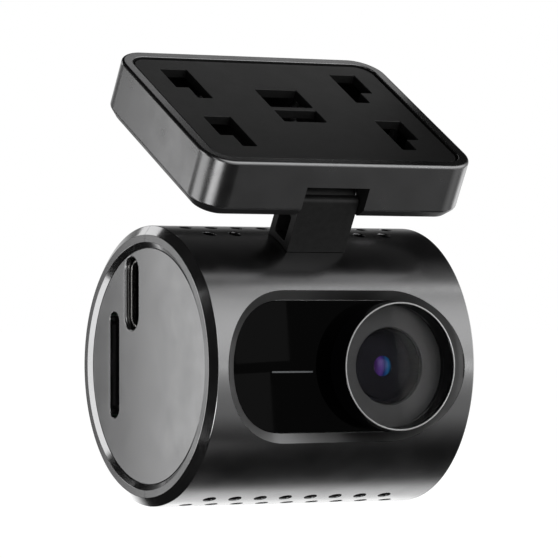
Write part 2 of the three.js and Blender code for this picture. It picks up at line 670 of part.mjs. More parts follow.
// ---- ports ----
const usbPrism = (width, thickness, x0, x1) =>
  at(slab(stadium(width, thickness), x0, x1, 10).rotateY(Math.PI / 2), 0, USB_Y, USB_Z);
const usbFront = COVER_DEPTH + 0.75 - HALF_L;
const usbShell = cut(usbPrism(8.94, 3.26, usbFront, -11.6), usbPrism(8.34, 2.56, -25, -12.6));
place(camera, "usb_shell", usbShell, steel());
const tongue = box(usbFront + 0.5, -12.65, USB_Y - 0.35, USB_Y + 0.35, USB_Z - 3.35, USB_Z + 3.35);
place(camera, "usb_tongue", tongue, matteBlack());

const cardBoard = box(-17.5, -1.2, CARD_BOARD_Y, CARD_BOARD_Y + 0.8, -9.5, 9.5);
place(camera, "card_board", cardBoard, boardGreen());
const socket = cut(
  box(-17.3, -2, 8.7, CARD_BOARD_Y - FIT, CARD_Z - 6.8, CARD_Z + 6.8),
  box(-20, -2.5, CARD_Y - 0.6, CARD_Y + 0.6, CARD_Z - 5.7, CARD_Z + 5.7),
);
place(camera, "card_socket", socket, steel());
const link = box(-9, -5, boardBack + FIT, CARD_BOARD_Y - FIT, -9.3, -7.2);
place(camera, "board_link", link, chipBlack());

// Memory card: 15 by 11 mm with a stepped corner, drawn in X and Z.
const cardOutline = polygon([
  [CARD_X, CARD_Z - 5.5],
  [CARD_X + 15, CARD_Z - 5.5],
  [CARD_X + 15, CARD_Z + 4.2],
  [CARD_X + 8.6, CARD_Z + 4.2],
  [CARD_X + 7.4, CARD_Z + 5.5],
  [CARD_X, CARD_Z + 5.5],
]);
place(camera, "memory_card", prismY(cardOutline, CARD_Y - 0.38, CARD_Y + 0.38), paint(0x151618, 0.55));

// ---- power, sound and the button ----
[-1, 1].forEach((side) => {
  const name = side < 0 ? "supercapacitor_lower" : "supercapacitor_upper";
  const can = at(rodX(4, -12.8, 0.2, 32), 0, -6, side * 5.9);
  place(camera, name, can, paint(0x1d2f57, 0.35, 0.3));
});

const speaker = latheY([
  [5.4, SPEAKER_Y1],
  [SPEAKER_R, SPEAKER_Y1],
  [SPEAKER_R, SPEAKER_Y0 + 1],
  [4.2, SPEAKER_Y0],
  [0, SPEAKER_Y0],
  [0, SPEAKER_Y0 + 0.6],
  [3.9, SPEAKER_Y0 + 0.6],
  [5.4, SPEAKER_Y0 + 1.6],
], 28);
place(camera, "speaker_frame", at(speaker, SPEAKER_X, 0, 0), steel());
const cone = latheY([
  [0, 14.5],
  [2, 14.35],
  [3.6, 13.7],
  [5.3, 14.3],
  [5.3, 14.1],
  [3.6, 13.5],
  [2, 14.15],
  [0, 14.3],
], 28);
place(camera, "speaker_cone", at(cone, SPEAKER_X, 0, 0), matteBlack());
const microphone = box(13.6, 16.9, boardBack + FIT, boardBack + 1.1, -7.8, -4.8);
place(camera, "microphone", microphone, steel());

const switchBody = join(box(14.9, 16.3, -1.6, BOARD_Y - FIT, -1.8, 1.8), rodX(0.8, 16.2, 16.9, 16));
place(camera, "button_switch", switchBody, chipBlack());
const button = latheX([
  [0, 17.35],
  [5.3, 17.35],
  [5.3, 18.1],
  [BUTTON_R, 18.1],
  [BUTTON_R, 19.75],
  [BUTTON_R - 0.25, 20],
  [0, 20],
], 48);
place(camera, "power_button", button, satinGrey());

const dashCamera = new THREE.Group();
dashCamera.name = "dash_camera";
dashCamera.add(mount, arm, camera);

export default dashCamera;
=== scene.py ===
# Dash camera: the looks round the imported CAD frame. Sizes are in millimetres unless a name says metres.
import math

import bmesh
import bpy
from mathutils import Matrix, Vector


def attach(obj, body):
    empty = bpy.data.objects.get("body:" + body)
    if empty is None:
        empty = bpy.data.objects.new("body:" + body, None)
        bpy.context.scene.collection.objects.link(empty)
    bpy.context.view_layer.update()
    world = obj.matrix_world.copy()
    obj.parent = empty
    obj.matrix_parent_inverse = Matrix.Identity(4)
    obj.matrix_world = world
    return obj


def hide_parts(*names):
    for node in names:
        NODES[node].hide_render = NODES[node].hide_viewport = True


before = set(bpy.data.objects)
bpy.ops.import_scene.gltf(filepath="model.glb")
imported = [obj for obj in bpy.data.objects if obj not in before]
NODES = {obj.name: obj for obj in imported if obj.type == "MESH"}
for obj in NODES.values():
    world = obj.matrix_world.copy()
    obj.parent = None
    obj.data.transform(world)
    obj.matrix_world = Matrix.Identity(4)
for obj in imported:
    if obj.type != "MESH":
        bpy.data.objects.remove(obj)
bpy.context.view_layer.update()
MM = 0.001

# ---- frames of the three groups ----
TILT = math.radians(29.7)
IN_PLATE = Matrix.Rotation(TILT, 4, "X")
IN_BODY = Matrix.Translation(Vector((0, 4.246, -34.187)) * MM)

# ---- driving sizes, as in the CAD ----
PLATE_W, PLATE_D, PLATE_R, PLATE_Y = 40.6, 31.8, 4.2, -0.5
LIP, PLATE_BOTTOM, PLATE_WALL, FLOOR_TOP = 0.25, -7.95, 1.5, -6.75
SCREW_R, SCREW_SINK_R = 1.65, 2.0
SCREWS = [(-16.7, 0), (16.7, 0), (-7.5, 11.2), (7.5, 11.2)]
NOTCH_W, NOTCH_BACK, NOTCH_TOP, EAR_W, EAR_TOP = 9.5, -9.25, -3.25, 2.2, -3.65
ARM_X, ARM_W, ARM_FRONT, ARM_BACK, ARM_TOP = -0.5, 8.8, -15.3, -9.85, -5.4
ARM_LOOP_W, ARM_LOOP_H, ARM_LOOP_Z = 2.95, 3.65, -10.625
KNUCKLE_R, KNUCKLE_W = 1.9, 8.1
HINGE_Y, HINGE_Z = -12.58, -6.25
BODY_Y, BODY_Z, R, HALF_L = -13.25, -31.8, 18.5, 20.15
CASE_IN_R, CHAMFER_R, CHAMFER_L, SEAM = 17, 1.22, 0.86, 0.035
VENT_R, VENT_X, VENT_PITCH = 0.85, -0.5, 3.83
VENT_OUTER, VENT_INNER = math.radians(79.8), math.radians(70.2)
SHELL_SCREWS = [(-8.5, 13.6), (8.5, 13.6), (-13.5, -13.6), (13.5, -13.6)]
SPEAKER_X, SPEAKER_RING, SPEAKER_HOLE_R = 9, 2.2, 0.55
RECESS_L, RECESS_H, RECESS_IN, RECESS_DEEP = 17.92, 9.95, 1.27, 0.93
WINDOW_Y, LENS_X = -14.7, 7.97
COVER_R, COVER_DEPTH, COVER_BACK, COVER_RIM_R = 15.58, 0.45, 18.15, 16.6
BUTTON_HOLE_R, BUTTON_R, BUTTON_DISH_R = 4.75, 4.5, 3.2
USB_Y, USB_Z, USB_FRONT, USB_BACK = 4.65, 9.55, -18.95, -11.6
USB_W, USB_T, USB_IN_W, USB_IN_T, TONGUE_W, TONGUE_T = 8.94, 3.26, 8.34, 2.56, 6.7, 0.7
PORT_SLOT, CARD_SLOT = (3.7, 9.5), (2.7, 14.1)
CARD_X, CARD_Y, CARD_Z, CARD_HALF_T = -18.3, 9.5, 0.05, 0.38
BEZEL_R, GLASS_R, GLASS_FRONT, GLASS_BACK = 8.46, 8.03, -16.35, -15.65
MASK_IN_R, MASK_FRONT, MASK_BACK = 5.12, -15.6, -15.0
# Each dome: the sphere's radius, the half angle that is used, and where its top is.
DOME_FRONT = (9.75, 0.48, -14.95)
DOME_BACK = (9.35, 0.46, -14.55)
PUPIL = (1.9, 0.78, -14.45)
FLOOR_Z = -0.085  # metres, below the body at every pose

# ---- the photograph's viewing place and direction, in millimetres and as a unit vector ----
EYE = Vector((-268.02, -459.71, -27.59)) * MM
VIEW = Vector((0.50052845, 0.86567074, 0.00924372))
FOCAL_LENGTH = 258.05


# ---------------------------------------------------------------- outlines
def soften(points, steps=4):
    """A closed outline with rounded corners: a point is (a, b), or (a, b, radius) where it is rounded."""
    out = []
    for i, point in enumerate(points):
        here = Vector(point[:2])
        radius = point[2] if len(point) > 2 else 0
        if not radius:
            out.append(here)
            continue
        before = (Vector(points[i - 1][:2]) - here).normalized()
        after = (Vector(points[(i + 1) % len(points)][:2]) - here).normalized()
        half = before.angle(after) / 2
        centre = here + (before + after).normalized() * radius / math.sin(half)
        first = here + before * radius / math.tan(half) - centre
        last = here + after * radius / math.tan(half) - centre
        turn = math.pi - 2 * half
        for k in range(steps + 1):
            t = k / steps
            arm = (first * math.sin((1 - t) * turn) + last * math.sin(t * turn)) / math.sin(turn)
            out.append(centre + arm)
    return out


def rounded_rect(width, height, radius, cx=0.0, cy=0.0, steps=16):
    """A rectangle round (cx, cy) with quarter-circle corners of steps + 1 points each."""
    out = []
    for quarter, (sx, sy) in enumerate([(1, 1), (-1, 1), (-1, -1), (1, -1)]):
        for k in range(steps + 1):
            a = math.pi / 2 * (quarter + k / steps)
            x = cx + sx * (width / 2 - radius) + radius * math.cos(a)
            out.append(Vector((x, cy + sy * (height / 2 - radius) + radius * math.sin(a))))
    return out


def stadium(width, height, cx=0.0, cy=0.0, steps=16):
    return rounded_rect(width, height, min(width, height) / 2 - 1e-3, cx, cy, steps)


def grow(outline, d):
    """The outline moved outwards by d, its corners mitred."""
    n = len(outline)
    area = sum(outline[i - 1].cross(outline[i]) for i in range(n))
    side = 1 if area > 0 else -1
    out = []
    for i in range(n):
        a = (outline[i] - outline[i - 1]).normalized()
        b = (outline[(i + 1) % n] - outline[i]).normalized()
        na, nb = Vector((a.y, -a.x)) * side, Vector((b.y, -b.x)) * side
        out.append(outline[i] + (na + nb) * (d / max(0.2, 1 + na.dot(nb))))
    return out


# ---------------------------------------------------------------- solids
def raw(verts, faces, place=None):
    """A linked mesh object with outward faces, from points in millimetres."""
    mesh = bpy.data.meshes.new("raw")
    mesh.from_pydata([tuple(v) for v in verts], [], faces)
    bm = bmesh.new()
    bm.from_mesh(mesh)
    bmesh.ops.remove_doubles(bm, verts=bm.verts, dist=1e-5)
    bmesh.ops.recalc_face_normals(bm, faces=bm.faces)
    if bm.calc_volume(signed=True) < 0:
        bmesh.ops.reverse_faces(bm, faces=bm.faces)
    bm.to_mesh(mesh)
    bm.free()
    if place is not None:
        mesh.transform(place)
    obj = bpy.data.objects.new("raw", mesh)
    bpy.context.scene.collection.objects.link(obj)
    return obj


def loft(rings, place=None):
    """A solid from rings of equally many 3-D points, joined in order and closed at both ends."""
    n = len(rings[0])
    faces = []
    for k in range(len(rings) - 1):
        for i in range(n):
            j = (i + 1) % n
            faces.append((k * n + i, k * n + j, (k + 1) * n + j, (k + 1) * n + i))
    faces.append(tuple(range(n)))
    faces.append(tuple((len(rings) - 1) * n + i for i in range(n)))
    return raw([p for ring in rings for p in ring], faces, place)


def levels(outline, steps, axis="Z", place=None):
    """A solid through an outline grown by g at height h, for each (g, h) in steps."""
    rings = []
    for g, h in steps:
        ring = grow(outline, g) if g else outline
        if axis == "Z":
            rings.append([(p.x, p.y, h) for p in ring])
        elif axis == "Y":
            rings.append([(p.x, h, p.y) for p in ring])
        else:
            rings.append([(h, p.x, p.y) for p in ring])
    return loft(rings, place=place)


def flared(outline, face, end, lead, axis="Z", place=None):
    """A cutter that leaves a rounded edge of radius lead where it passes a flat face."""
    way = 1 if face > end else -1
    steps = [(lead + 0.5, face + way * 0.001 + way * 0.5), (lead, face + way * 0.001)]
    for k in range(1, 5):
        a = math.pi / 2 * k / 4
        steps.append((lead * (1 - math.sin(a)), face - way * lead * (1 - math.cos(a))))
    steps.append((0, end))
    return levels(outline, steps, axis, place)


def revolve(profile, axis="X", steps=128, place=None):
    """A solid of revolution from a closed profile of (radius, place along the axis)."""
    verts, rings = [], []
    for point in profile:
        radius, along = point[0], point[1]
        count = 1 if radius < 1e-6 else steps
        ring = []
        for k in range(count):
            a = 2 * math.pi * k / steps
            u, w = radius * math.cos(a), radius * math.sin(a)
            ring.append(len(verts))
            spot = {"X": (along, u, w), "Y": (u, along, w), "Z": (u, w, along)}[axis]
            verts.append(spot)
        rings.append(ring)
    faces = []
    for k, ring in enumerate(rings):
        other = rings[(k + 1) % len(rings)]
        if len(ring) == 1 and len(other) == 1:
            continue
        for i in range(steps):
            j = (i + 1) % steps
            quad = [ring[i % len(ring)], ring[j % len(ring)], other[j % len(other)], other[i % len(other)]]
            faces.append(tuple(dict.fromkeys(quad)))
    return raw(verts, faces, place)


def cuboid(x0, x1, y0, y1, z0, z1, place=None):
    ring = [(x0, y0), (x1, y0), (x1, y1), (x0, y1)]
    return loft([[(x, y, z) for x, y in ring] for z in (z0, z1)], place=place)


def combine(obj, tool, how):
    mod = obj.modifiers.new("cut", "BOOLEAN")
    mod.operation = how
    mod.object = tool
    mod.solver = "MANIFOLD"
    bpy.context.view_layer.update()
    graph = bpy.context.evaluated_depsgraph_get()
    mesh = bpy.data.meshes.new_from_object(obj.evaluated_get(graph))
    obj.modifiers.clear()
    old = obj.data
    obj.data = mesh
    bpy.data.meshes.remove(old)
    bpy.data.objects.remove(tool)
    if not len(mesh.polygons):
        raise RuntimeError("an empty boolean")
    return obj


def cut(obj, *tools):
    for tool in tools:
        combine(obj, tool, "DIFFERENCE")
    return obj


def join(obj, *others):
    for other in others:
        combine(obj, other, "UNION")
    return obj


def common(obj, other):
    return combine(obj, other, "INTERSECT")


def copy_of(obj):
    twin = bpy.data.objects.new("raw", obj.data.copy())
    bpy.context.scene.collection.objects.link(twin)
    return twin


# ---------------------------------------------------------------- finishing a piece
def corner_normals(mesh, angle):
    """Corner normals for smooth shading that keeps flat faces flat.

    Faces in one plane count as one. An edge between a big plane and one under a quarter of its area is
    marked sharp, and a corner there takes the big plane's normal, so a rounding starts from the flat."""
    faces = mesh.polygons
    parent = list(range(len(faces)))

    def root(i):
        while parent[i] != i:
            parent[i] = parent[parent[i]]
            i = parent[i]
        return i

    first = {}
    around = [[] for _ in mesh.vertices]
    for face in faces:
        for key in face.edge_keys:
            if key not in first:
                first[key] = face.index
            elif face.normal.dot(faces[first[key]].normal) > 0.999995:
                parent[root(face.index)] = root(first[key])
        for vertex in face.vertices:
            around[vertex].append(face.index)
    area = [0.0] * len(faces)
    for face in faces:
        area[root(face.index)] += face.area
    edges = {edge.key: edge for edge in mesh.edges}
    for face in faces:
        for key in face.edge_keys:
            pair = (area[root(face.index)], area[root(first[key])])
            if max(pair) > 4 * min(pair):
                edges[key].use_edge_sharp = True
    limit = math.cos(math.radians(angle))
    normals = [Vector(n.vector) for n in mesh.corner_normals]
    for face in faces:
        for loop in face.loop_indices:
            near = {}
            for other in around[mesh.loops[loop].vertex_index]:
                if faces[other].normal.dot(face.normal) > limit:
                    near[root(other)] = faces[other].normal
            if not near:
                continue
            flat = max(near, key=lambda r: area[r])
            rest = [area[r] for r in near if near[r].dot(near[flat]) < 0.99998]
            if area[flat] > 4 * max(rest, default=0):
                normals[loop] = near[flat].copy()
    return normals


def finish(obj, name, place, body, look, nodes=(), angle=32, true_radius=None, bevel=0.0):
    """Names and places the piece, smooths it, and hands it to its CAD body.

    look is one material or a list of them. A corner on a cylinder of true_radius round X gets the
    cylinder's own normal. bevel rounds the sharp edges by that many millimetres."""
    obj.name = name
    mesh = obj.data
    mesh.name = name
    mesh.materials.clear()
    for item in look if isinstance(look, list) else [look]:
        mesh.materials.append(item)
    if bevel:
        bm = bmesh.new()
        bm.from_mesh(mesh)
        bmesh.ops.dissolve_limit(bm, angle_limit=math.radians(1), verts=bm.verts, edges=bm.edges)
        bm.to_mesh(mesh)
        bm.free()
        mod = obj.modifiers.new("edges", "BEVEL")
        mod.width = bevel
        mod.segments = 3
        mod.limit_method = "ANGLE"
        mod.angle_limit = math.radians(35)
        mod.miter_outer = "MITER_ARC"
        mod.harden_normals = False
        graph = bpy.context.evaluated_depsgraph_get()
        mesh = bpy.data.meshes.new_from_object(obj.evaluated_get(graph))
        obj.modifiers.clear()
        obj.data = mesh
        mesh.name = name
    mesh.shade_smooth()
    mesh.set_sharp_from_angle(angle=math.radians(angle))
    normals = corner_normals(mesh, angle)
    for face in mesh.polygons:
        side = Vector((0, face.normal.y, face.normal.z))
        if not true_radius or abs(face.normal.x) > 0.02:
            continue
        for loop in face.loop_indices:
            co = mesh.vertices[mesh.loops[loop].vertex_index].co
            radial = Vector((0, co.y, co.z))
            if abs(radial.length - true_radius) < 0.01 and side.dot(radial) > 0.998 * radial.length:
                normals[loop] = radial.normalized()
    mesh.transform(place @ Matrix.Scale(MM, 4))
    turn = place.to_3x3()
    mesh.normals_split_custom_set([tuple((turn @ n).normalized()) for n in normals])
    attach(obj, body)
    if nodes:
        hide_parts(*nodes)
    return obj


# ---------------------------------------------------------------- materials
class Look:
    """A small builder for one material's nodes."""

    def __init__(self, name):
        self.material = bpy.data.materials.new(name)
        self.material.use_nodes = True
        self.tree = self.material.node_tree
        self.shader = self.tree.nodes["Principled BSDF"]
        self.coords = self.tree.nodes.new("ShaderNodeTexCoord").outputs["Object"]

    def set(self, **values):
        for key, value in values.items():
            self.shader.inputs[key.replace("_", " ")].default_value = value
        return self

    def node(self, kind, **values):
        made = self.tree.nodes.new(kind)
        for key, value in values.items():
            if key in made.inputs:
                made.inputs[key].default_value = value
            else:
                setattr(made, key, value)
        return made

    def link(self, a, b):
        self.tree.links.new(a, b)

    def noise(self, scale, detail=3.0, roughness=0.55, stretch=None):
        noise = self.node("ShaderNodeTexNoise", Scale=scale, Detail=detail, Roughness=roughness)
        source = self.coords
        if stretch:
            mapping = self.node("ShaderNodeMapping")
            mapping.inputs["Scale"].default_value = stretch
            self.link(source, mapping.inputs["Vector"])
            source = mapping.outputs["Vector"]
        self.link(source, noise.inputs["Vector"])
        return noise.outputs["Fac"]

    def span(self, source, low, high, start=0.3, end=0.7):
        ramp = self.node("ShaderNodeMapRange")
        ramp.inputs["From Min"].default_value = start
        ramp.inputs["From Max"].default_value = end
        ramp.inputs["To Min"].default_value = low
        ramp.inputs["To Max"].default_value = high
        self.link(source, ramp.inputs["Value"])
        return ramp.outputs["Result"]

    def colours(self, source, *stops):
        ramp = self.node("ShaderNodeValToRGB")
        elements = ramp.color_ramp.elements
        while len(elements) < len(stops):
            elements.new(0.5)
        for element, (position, colour) in zip(elements, stops):
            element.position = position
            element.color = (*colour, 1)
        self.link(source, ramp.inputs["Fac"])
        return ramp.outputs["Color"]

    def bump(self, source, strength, distance):
        bump = self.node("ShaderNodeBump")
        bump.inputs["Strength"].default_value = strength
        bump.inputs["Distance"].default_value = distance
        previous = self.shader.inputs["Normal"].links
        if previous:
            self.link(previous[0].from_socket, bump.inputs["Normal"])
        self.link(source, bump.inputs["Height"])
        self.link(bump.outputs["Normal"], self.shader.inputs["Normal"])
        return self


def satin(name, dark, light, rough, grain=0.018):
    """Metallic satin lacquer: fine flake grain, slow changes of gloss."""
    look = Look(name).set(Metallic=1.0, Specular_IOR_Level=0.5)
    flakes = look.noise(9000, 2.0)
    look.link(look.colours(flakes, (0.3, dark), (0.7, light)), look.shader.inputs["Base Color"])
    look.link(look.span(look.noise(220, 4.0), rough - 0.03, rough + 0.04), look.shader.inputs["Roughness"])
    look.bump(look.noise(5200, 2.0), grain, 0.00002)
    return look.material


def moulded(name, dark, light, rough, grain=0.25, size=2600, spread=0.055):
    """Moulded plastic with a fine spark-eroded grain."""
    look = Look(name).set(Metallic=0.0, Specular_IOR_Level=0.35)
    look.link(look.colours(look.noise(1400, 4.0), (0.3, dark), (0.7, light)), look.shader.inputs["Base Color"])
    look.link(look.span(look.noise(300, 4.0), rough - spread, rough + spread), look.shader.inputs["Roughness"])
    look.bump(look.noise(size, 3.0), grain, 0.00003)
    return look.material


def polished(name, colour, rough, coat=0.0, shine=0.5):
    """Smooth gloss lacquer or moulding, with a very slight waviness."""
    look = Look(name).set(Metallic=0.0, Specular_IOR_Level=shine, Base_Color=(*colour, 1))
    look.shader.inputs["Coat Weight"].default_value = coat
    look.link(look.span(look.noise(160, 5.0), rough, rough + 0.03), look.shader.inputs["Roughness"])
    look.bump(look.noise(700, 2.0), 0.01, 0.00001)
    return look.material


def bare_metal(name, colour, rough, stretch=(1, 12, 12)):
    """Brushed metal: fine lines along the axis that stretch leaves at 1."""
    look = Look(name).set(Metallic=1.0)
    lines = look.noise(900, 4.0, 0.6, stretch)
    dull = tuple(c * 0.8 for c in colour)
    look.link(look.colours(lines, (0.25, dull), (0.75, colour)), look.shader.inputs["Base Color"])
    look.link(look.span(lines, rough - 0.06, rough + 0.08), look.shader.inputs["Roughness"])
    look.bump(lines, 0.06, 0.00002)
    return look.material


def glass(name, tint, ior=1.5, gloss=(1.0, 1.0, 1.0)):
    """Clear coated glass: what lies behind shows through, and the surface mirrors by Fresnel."""
    look = Look(name)
    look.tree.nodes.remove(look.shader)
    clear = look.node("ShaderNodeBsdfTransparent")
    clear.inputs["Color"].default_value = (*tint, 1)
    mirror = look.node("ShaderNodeBsdfGlossy")
    mirror.inputs["Color"].default_value = (*gloss, 1)
    mirror.inputs["Roughness"].default_value = 0.0
    fresnel = look.node("ShaderNodeFresnel")
    fresnel.inputs["IOR"].default_value = ior
    mix = look.node("ShaderNodeMixShader")
    look.link(fresnel.outputs["Fac"], mix.inputs["Fac"])
    look.link(clear.outputs["BSDF"], mix.inputs[1])
    look.link(mirror.outputs["BSDF"], mix.inputs[2])
    look.link(mix.outputs["Shader"], look.tree.nodes["Material Output"].inputs["Surface"])
    return look.material


GREY = satin("satin_grey_lacquer", (0.225, 0.225, 0.227), (0.25, 0.25, 0.252), 0.23)
SILVER = satin("silver_grey_lacquer", (0.32, 0.32, 0.323), (0.35, 0.35, 0.353), 0.2)
# A lighter, glossier copy of the case lacquer for the end chamfers: painted highlight.
LIT_EDGE_COPY = satin("lit_copy_edge_lacquer", (0.48, 0.48, 0.484), (0.52, 0.52, 0.524), 0.11, 0.01)
# A lighter, rougher copy of the case lacquer for the window recess: painted light on its chamfer.
LIT_RECESS_COPY = satin("lit_copy_recess_lacquer", (0.3, 0.3, 0.302), (0.33, 0.33, 0.332), 0.36)
# Bright grey for the bezel's front lip: a painted highlight line.
BEZEL_LIT_LIP = satin("bezel_painted_highlight_lip", (0.2, 0.2, 0.2), (0.24, 0.24, 0.24), 0.2, 0.01)
RIM = satin("plate_grey_lacquer", (0.235, 0.235, 0.237), (0.26, 0.26, 0.262), 0.24)
BLACK = moulded("black_moulded", (0.006, 0.006, 0.006), (0.012, 0.012, 0.012), 0.5)
PANEL = moulded("black_panel_moulded", (0.009, 0.009, 0.009), (0.012, 0.012, 0.012), 0.42, 0.15, spread=0.02)
# Near-black, darker than any moulding: painted shade for hollows, pockets and the lens's inside.
SHADE_BLACK = moulded("painted_shade_near_black", (0.002, 0.002, 0.002), (0.004, 0.004, 0.004), 0.8)
GLOSS = polished("gloss_black_window", (0.0006, 0.0006, 0.0006), 0.0, shine=0.02)
BEZEL = polished("bezel_black_lacquer", (0.003, 0.003, 0.0035), 0.12)
STEEL = bare_metal("brushed_stainless", (0.55, 0.55, 0.56), 0.3)
NICKEL = bare_metal("nickel_port_shell", (0.6, 0.59, 0.57), 0.22, (12, 12, 1))
MASK = moulded("grey_lens_mask", (0.045, 0.045, 0.046), (0.055, 0.055, 0.056), 0.55, 0.1)
COVER_GLASS = glass("clear_cover_glass", (0.97, 0.97, 0.97), 1.08)
LENS_GLASS = glass("coated_lens_glass", (0.9, 0.9, 0.95), 1.05, (0.7, 0.6, 1.0))


def light_pipe():
    """Frosted plastic, barely lit from behind."""
    look = Look("frosted_light_pipe").set(Base_Color=(0.09, 0.095, 0.1, 1), Roughness=0.4)
    look.shader.inputs["Emission Color"].default_value = (0.8, 0.85, 0.9, 1)
    glow = look.span(look.noise(500, 2.0), 0.008, 0.014)
    look.link(glow, look.shader.inputs["Emission Strength"])
    return look.material


def green_board():
    """Solder mask over a regular pattern of tracks."""
    look = Look("green_board").set(Roughness=0.4, Metallic=0.0)
    traces = look.node("ShaderNodeTexBrick", Scale=900.0)
    look.link(look.coords, traces.inputs["Vector"])
    traces.inputs["Color1"].default_value = (0.006, 0.07, 0.022, 1)
    traces.inputs["Color2"].default_value = (0.008, 0.085, 0.03, 1)
    traces.inputs["Mortar"].default_value = (0.02, 0.13, 0.05, 1)
    look.link(traces.outputs["Color"], look.shader.inputs["Base Color"])
    look.bump(traces.outputs["Fac"], 0.2, 0.00003)
    return look.material


PIPE = light_pipe()
BOARD = green_board()


def painted_pupil_reflection():
    """A painted reflection of the lens's coating, with a painted glow: violet at one side, teal at the other."""
    look = Look("painted_coating_reflection").set(Metallic=0.0, Roughness=0.08)
    apart = look.node("ShaderNodeSeparateXYZ")
    look.link(look.coords, apart.inputs["Vector"])
    across = look.span(apart.outputs["X"], 0.0, 1.0, (LENS_X - 1.3) * MM, (LENS_X + 1.3) * MM)
    tint = look.colours(
        across, (0.0, (0.03, 0.008, 0.05)), (0.3, (0.09, 0.03, 0.2)), (0.5, (0.01, 0.015, 0.09)),
        (0.72, (0.01, 0.09, 0.2)), (1.0, (0.003, 0.03, 0.05)))
    look.link(tint, look.shader.inputs["Base Color"])
    look.link(tint, look.shader.inputs["Emission Color"])
    # Painted glow of the reflected coating.
    look.shader.inputs["Emission Strength"].default_value = 0.35
    look.bump(look.noise(900, 1.0), 0.05, 0.00002)
    return look.material


# ================================================================ mount plate
def plate_outline(inset, steps=20):
    radius = max(PLATE_R - inset, 0.6)
    return rounded_rect(PLATE_W - 2 * inset, PLATE_D - 2 * inset, radius, 0, PLATE_Y, steps)


def plate_rings(profile):
    return [[(p.x, p.y, z) for p in plate_outline(inset)] for inset, z in profile]


side_profile = soften([
    (3.0, PLATE_BOTTOM), (1.2, PLATE_BOTTOM, 0.5), (0, PLATE_BOTTOM + 1.4, 0.5), (0, LIP, 0.42),
    (PLATE_WALL, LIP, 0.12), (PLATE_WALL, FLOOR_TOP, 0.3), (3.0, FLOOR_TOP),
], 6)
housing = loft(plate_rings(side_profile))
notch0, notch1 = ARM_X - NOTCH_W / 2, ARM_X + NOTCH_W / 2
front = PLATE_Y - PLATE_D / 2
for x0, x1 in ((notch0 - EAR_W, notch0), (notch1, notch1 + EAR_W)):
    join(housing, cuboid(x0 - 0.01, x1 + 0.01, front + 0.8, HINGE_Y + 2.6, FLOOR_TOP - 0.4, EAR_TOP))
cut(housing, cuboid(notch0, notch1, front - 1, NOTCH_BACK, PLATE_BOTTOM - 1, NOTCH_TOP))
for x, y in SCREWS:
    cut(housing, revolve(soften([
        (0, PLATE_BOTTOM - 1), (SCREW_SINK_R, PLATE_BOTTOM - 1), (SCREW_SINK_R, PLATE_BOTTOM - 0.15),
        (SCREW_R, PLATE_BOTTOM + 0.15), (SCREW_R, PLATE_BOTTOM + 1), (0, PLATE_BOTTOM + 1)]),
        "Z", 32, Matrix.Translation((x, y, 0))))
finish(housing, "housing_shell", IN_PLATE, "mount", [RIM, SHADE_BLACK, BLACK], ["mount_housing"])
# The inside and the hinge's pocket take the near-black as painted shade, and the grey underside takes the black
# moulding as painted shade.
for face in housing.data.polygons:
    spot = IN_PLATE.inverted() @ face.center * 1000
    normal = IN_PLATE.to_3x3().inverted() @ face.normal
    inside = spot.z < -0.3 and max(abs(spot.x) - PLATE_W / 2, abs(spot.y - PLATE_Y) - PLATE_D / 2) < -1.4
    in_notch = notch0 - 0.05 < spot.x < notch1 + 0.05 and spot.y < -9.2 and abs(normal.y) < 0.9
    if (inside and spot.z > PLATE_BOTTOM + 1.2) or (in_notch and spot.z > PLATE_BOTTOM + 0.3 and spot.z < -3.2):
        face.material_index = 1
    elif normal.z < -0.3 and spot.z < PLATE_BOTTOM + 1.5:
        face.material_index = 2

sheet = levels(plate_outline(PLATE_WALL + 0.3), [(-0.1, -1.2), (0, -1.1), (0, -0.14), (-0.04, -0.04), (-0.14, 0)])
for mirror in (1, -1):
    for top in (10.8, -2.9):
        points = [(11.1, top - 8.35), (13.25, top - 8.35), (13.25, top - 5.35), (15.15, top - 5.35),
                  (15.15, top), (11.1, top)]
        outline = soften([(mirror * x, y, 0.12) for x, y in points], 2)
        cut(sheet, flared(outline, 0, -3, 0.1))
for y0, y1 in ((0.43, 5.6), (-3.8, -0.43)):
    outline = soften([(-3.22, y0, 0.12), (3.22, y0, 0.12), (3.22, y1, 0.12), (-3.22, y1, 0.12)], 2)
    cut(sheet, flared(outline, 0, -3, 0.12))
finish(sheet, "mount_face_sheet", IN_PLATE, "mount", PANEL, ["mount_panel"])

# ================================================================ arm
side = soften([
    (ARM_FRONT, BODY_Z + R - 1), (ARM_BACK, BODY_Z + R - 1), (ARM_BACK, ARM_TOP, 0.6), (ARM_FRONT, ARM_TOP, 0.7)], 5)
block = levels(side, [(0, ARM_X - ARM_W / 2), (0, ARM_X + ARM_W / 2)], "X")
middle = (ARM_FRONT + ARM_BACK) / 2
knuckle0, knuckle1 = ARM_X - KNUCKLE_W / 2, ARM_X + KNUCKLE_W / 2
knuckle = revolve([(0, knuckle0), (KNUCKLE_R, knuckle0), (KNUCKLE_R, knuckle1), (0, knuckle1)], "X", 48,
                  Matrix.Translation((0, HINGE_Y, HINGE_Z)))
join(block, knuckle)
loop = rounded_rect(ARM_LOOP_W, ARM_LOOP_H, 0.3, middle, ARM_LOOP_Z, 5)
cut(block, levels(loop, [(0, ARM_X - 10), (0, ARM_X + 10)], "X"))
saddle = revolve([(0, -40), (R + 0.03, -40), (R + 0.03, 40), (0, 40)], "X", 192,
                 Matrix.Translation((0, BODY_Y, BODY_Z)))
cut(block, saddle)
finish(block, "arm_link", IN_PLATE, "camera", BLACK, ["support_arm"], bevel=0.22)

